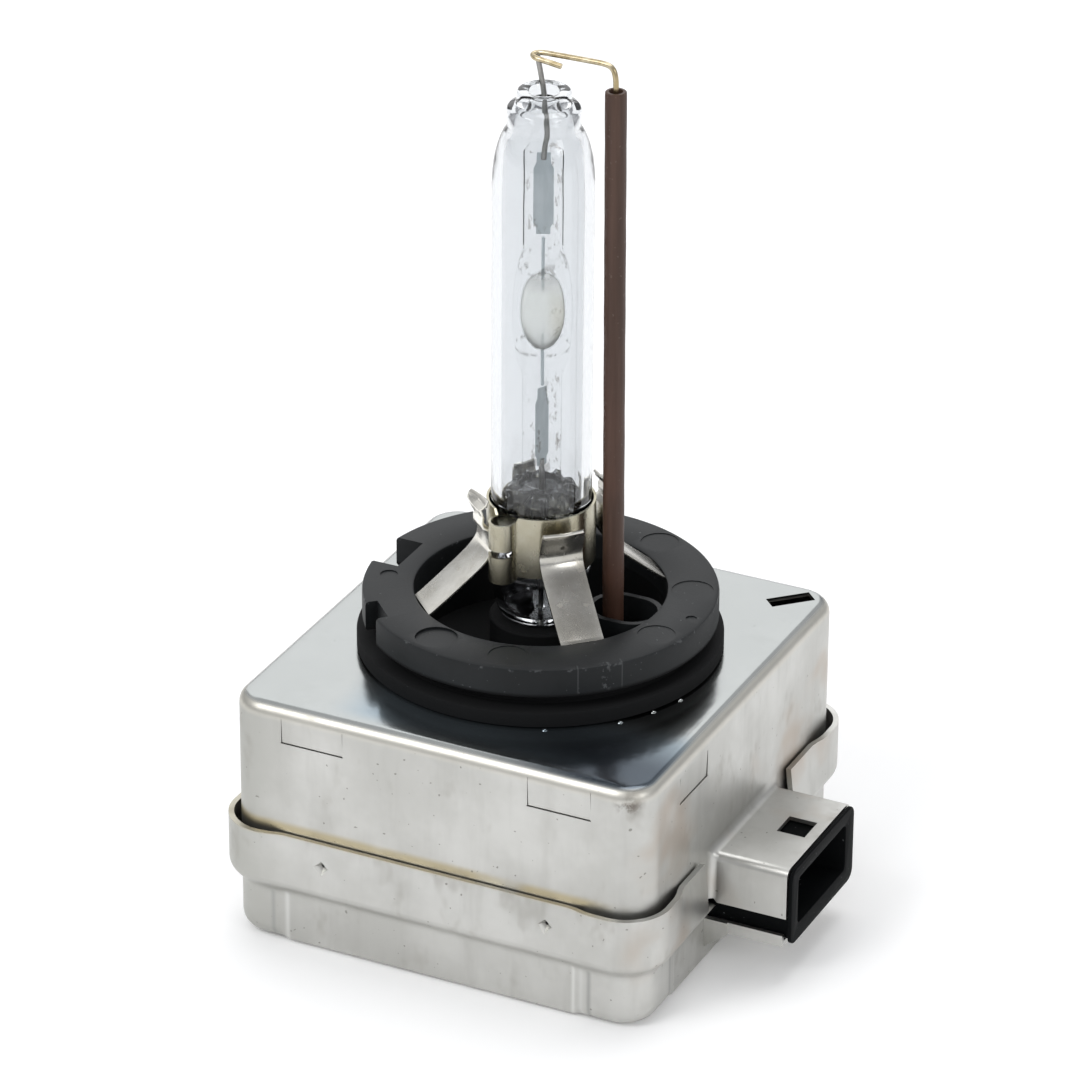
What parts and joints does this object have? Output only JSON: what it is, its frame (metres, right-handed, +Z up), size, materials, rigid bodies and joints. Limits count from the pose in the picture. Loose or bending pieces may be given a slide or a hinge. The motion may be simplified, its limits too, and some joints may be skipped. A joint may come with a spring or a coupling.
{
  "type": "headlight bulb",
  "caption": "Gas-discharge headlamp bulb: quartz burner tube with return wire on a black ring base over a square tinned steel igniter can with a side connector.",
  "frame": {"origin": "on the lamp axis, at the flat outer face of the bottom cover", "axes": "+Z up along the lamp axis from the can to the glass tube, +X towards the connector, -Y the wide front side"},
  "size_m": [0.05, 0.0448, 0.0812],
  "materials": {
    "quartz": "clear polished quartz",
    "refractory_metal": "dull grey tungsten and molybdenum",
    "lead_wire": "pale drawn nickel wire",
    "sleeve_ceramic": "dark brown fired ceramic, slight sheen",
    "spring_steel": "bright stainless spring strip",
    "black_plastic": "black moulded plastic, fine satin",
    "tinned_steel": "tinned sheet steel, satin with faint tarnish",
    "connector_plastic": "black moulded plastic",
    "contact_metal": "tinned contact metal",
    "igniter_plastic": "black moulded plastic",
    "board": "green laminate",
    "ferrite": "dark grey ferrite",
    "copper_wire": "enamelled copper wire",
    "white_ceramic": "off-white ceramic",
    "film_case": "blue moulded case"
  },
  "bodies": {
    "root": {"outer_envelope": "quartz", "arc_tube": "quartz", "upper_electrode": "refractory_metal", "lower_electrode": "refractory_metal", "upper_foil": "refractory_metal", "lower_foil": "refractory_metal", "upper_lead": "lead_wire", "lower_lead": "lead_wire", "return_wire": "lead_wire", "ceramic_sleeve": "sleeve_ceramic", "tube_clamp": "spring_steel", "mounting_strap_1": "spring_steel", "mounting_strap_2": "spring_steel", "mounting_strap_3": "spring_steel", "mounting_strap_4": "spring_steel", "base_ring": "black_plastic", "upper_can": "tinned_steel", "lower_can": "tinned_steel", "connector_housing": "connector_plastic", "connector_pin_1": "contact_metal", "connector_pin_2": "contact_metal", "connector_pin_3": "contact_metal", "connector_pin_4": "contact_metal", "igniter_frame": "igniter_plastic", "circuit_board": "board", "transformer_core": "ferrite", "bobbin": "igniter_plastic", "secondary_winding": "copper_wire", "primary_winding": "copper_wire", "spark_gap_body": "white_ceramic", "spark_gap_cap_1": "contact_metal", "spark_gap_cap_2": "contact_metal", "capacitor": "film_case", "resistor": "white_ceramic", "high_voltage_terminal": "contact_metal", "return_terminal": "contact_metal"}
  },
  "joints": []
}
